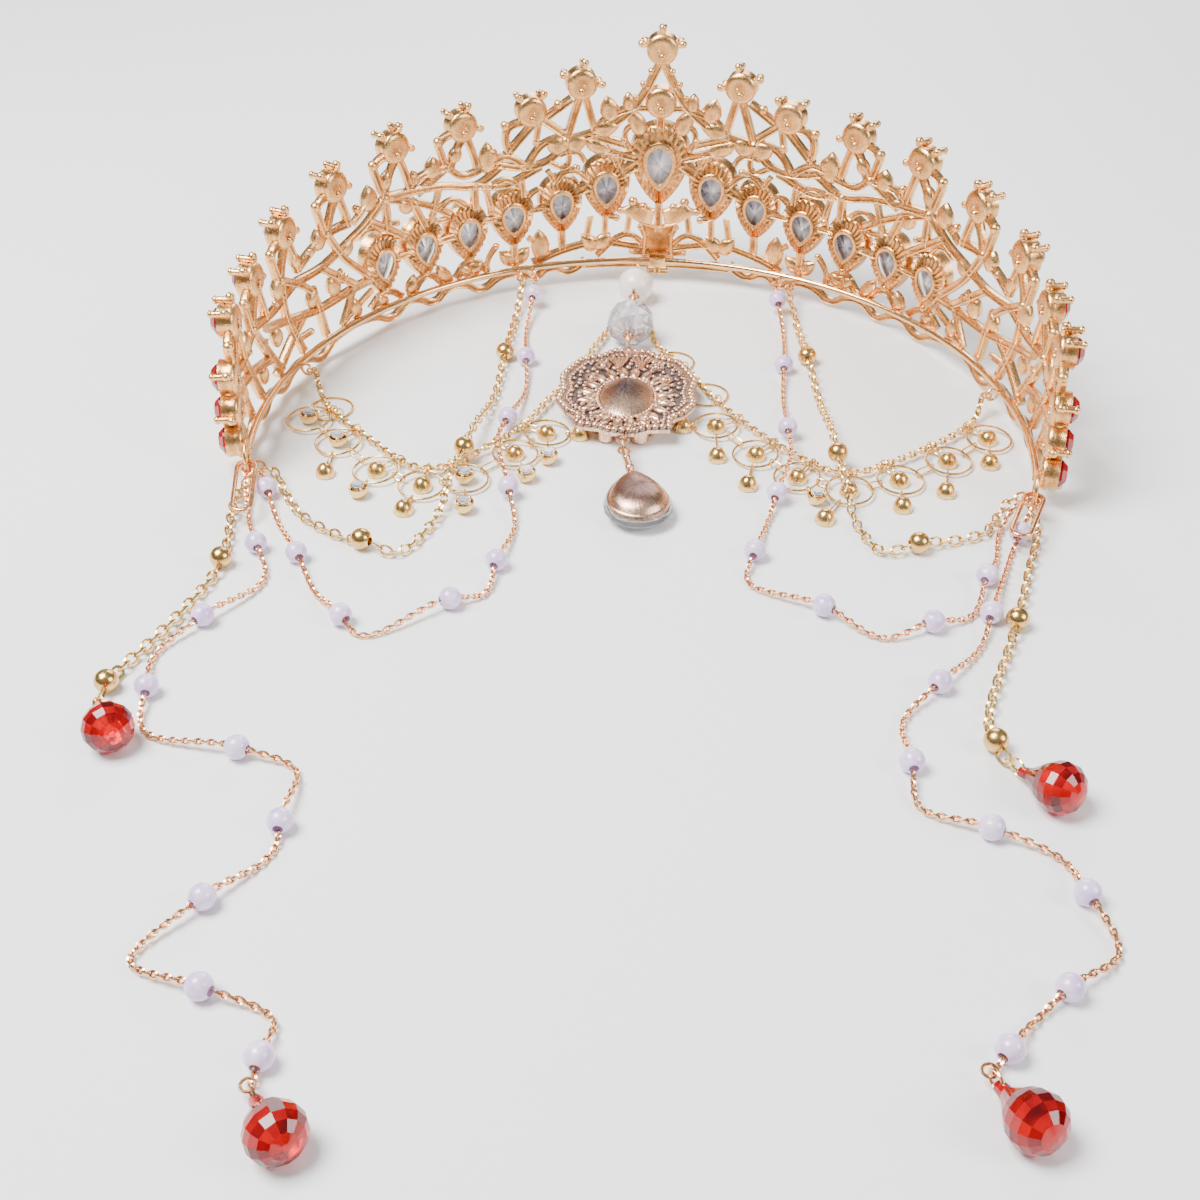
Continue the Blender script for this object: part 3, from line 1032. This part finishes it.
# The pear drop lies on its stone, with its metal back up
pearDrop = {
    "centre": (0.5, -18.6), "turn": 12, "half": (6.3, 8.3),
    "back": [(0.84, 3), (0.92, 3.1), (0.94, 3.4), (0.92, 3.7), (0.87, 3.8), (0.85, 3.95), (0.8, 4.6),
        (0.68, 5.3), (0.5, 5.75), (0.3, 5.95), (0.08, 6)],
    "tail": [(0, 6.6, 3.9), (0, 9.5, 3.7), (0, 12.6, 3.5), (0, 14.9, 3.4)], "tailWire": 1.5,
    "balls": [[0.95, (0, 8.6, 3.9)], [0.8, (0, 12.6, 3.6)]], "ring": (0, 15.8, 3.2),
    "glass": [(0.66, 0), (0.86, 0.7), (1.02, 1.9), (1.04, 2.3), (1, 2.95)]
}
dropOutline = [(-x, -y) for x, y in pear(*pearDrop["half"], 40)]
parts = [loft(dropOutline, pearDrop["back"]), ring(1.1, 0.6, move(*pearDrop["ring"]), 20, 8),
         wire(pearDrop["tail"], pearDrop["tailWire"], "tail")]
parts += [ball(radius, move(*place)) for radius, place in pearDrop["balls"]]
place = move(*pearDrop["centre"]) @ turn(pearDrop["turn"], "Z")
made = joined(parts, "drop_back")
made.data.transform(place)
dropFinish = filigreeFinish(
    "brushed drop back", centre=(0.0005, -0.0186), top=0.002, apex=0.0075, smoke=(0.14, 0.09, 0.09))
finished([made], "drop_back", (dropFinish, "filigree_metal"), ["drop_setting"])
glass = loft(dropOutline[::2], pearDrop["glass"])
glass.data.transform(place)
finished([glass], "drop_glass", (clearGlass, "clear_glass"), ["drop_stone"], 20)

for model in (*links.values(), *cupModels):
    drop(model)

# Red glass drops, cut in rows of facets, thick end down on the table
redCut = {
    "long": 12, "wide": 8.2, "sides": 14, "lift": 1.8, "tilt": 19, "bore": 1.3, "neck": 0.11,
    "rows": [(0.2, 0.04), (0.24, 0.1), (0.28, 0.2), (0.5, 0.33), (0.76, 0.46), (0.93, 0.58), (1, 0.7),
        (0.94, 0.8), (0.76, 0.89), (0.45, 0.96), (0.12, 0.985)]
}
long, half = redCut["long"], redCut["wide"] / 2
for name, (x, y, heading) in redPlaces.items():
    cut = loft(circle(half, redCut["sides"]), [(share, way * long) for share, way in redCut["rows"]])
    cut.data.transform(move(x, y, redCut["lift"]) @ turn(heading, "Z") @ move(redCut["bore"], 0)
                       @ turn(-redCut["tilt"], "Y") @ move(-redCut["neck"] * long, 0) @ turn(90, "Y"))
    low = min(vert.co.z for vert in cut.data.vertices)
    cut.data.transform(move(0, 0, max(0.0, -low)))
    finished([cut], name + "_cut", (redGlass, "red_glass"), [name], 8)

# CAD nodes that stay get their finishes, by the start of their names
finishes = {
    ("peak_stone",): [redStone], ("end_stones",): [redStone, clearStone],
    ("pear_stone", "fringe_stones", "collar_stone"): [clearStone], ("crystal_bead",): [crystal],
    ("large_pearl",): [creamPearl], ("pearl_pin", "crystal_pin", "pendant_ring", "drop_ring"): [roseMetal],
    ("pearl_swag_beads", "pearl_tassel_beads"): [smallPearl],
    ("gold_swag_beads", "gold_tassel_beads"): [yellowMetal]}
for name, obj in nodes.items():
    for starts, held in finishes.items():
        if name.startswith(starts):
            if not obj.material_slots:
                obj.data.materials.append(held[0])
            for i, row in enumerate(obj.material_slots):
                row.material = held[min(i, len(held) - 1)]
print("frame nodes dressed")

# Pale table and soft studio light
bpy.ops.mesh.primitive_plane_add(size=3, location=(0, 0, 0))
floor = edited(bpy.context.object, (bpy.ops.mesh.subdivide, {"number_cuts": 6}))
floor.name = "table"
floorFinish, floorShader, floorPlace = newMaterial("pale table", {"Specular IOR Level": 0.3})
mottle = floorPlace.noise(6.0, 2.0)
feed(floorShader, {"Base Color": mottle.mixed((0.86, 0.86, 0.86), (0.9, 0.9, 0.9)),
                   "Roughness": 0.6 + 0.1 * mottle})
floor.data.materials.append(floorFinish)

lights = {
    "window": {"place": (-0.3, -0.1, 0.6), "size": 0.35, "power": 13.0},
    "fill": {"place": (0.5, -0.2, 0.35), "size": 0.25, "power": 2.5},
    "back": {"place": (0.05, 0.6, 0.3), "size": 0.35, "power": 3.0}}
for name, row in lights.items():
    data = bpy.data.lights.new(name, "AREA")
    data.size = row["size"]
    data.energy = row["power"]
    aim(linked(name, data), row["place"], -Vector(row["place"]))
world = bpy.data.worlds.new("studio")
world.use_nodes = True
backdrop = world.node_tree.nodes["Background"]
backdrop.inputs["Strength"].default_value = 0.36
sky = Signal(world.node_tree, world.node_tree.nodes.new("ShaderNodeTexCoord").outputs["Generated"])
glow = sky.part("Z").clamped(0.0, 0.75).mixed((0.3, 0.3, 0.32), (0.95, 0.97, 1.0))
world.node_tree.links.new(glow.socket, backdrop.inputs["Color"])
bpy.context.scene.world = world
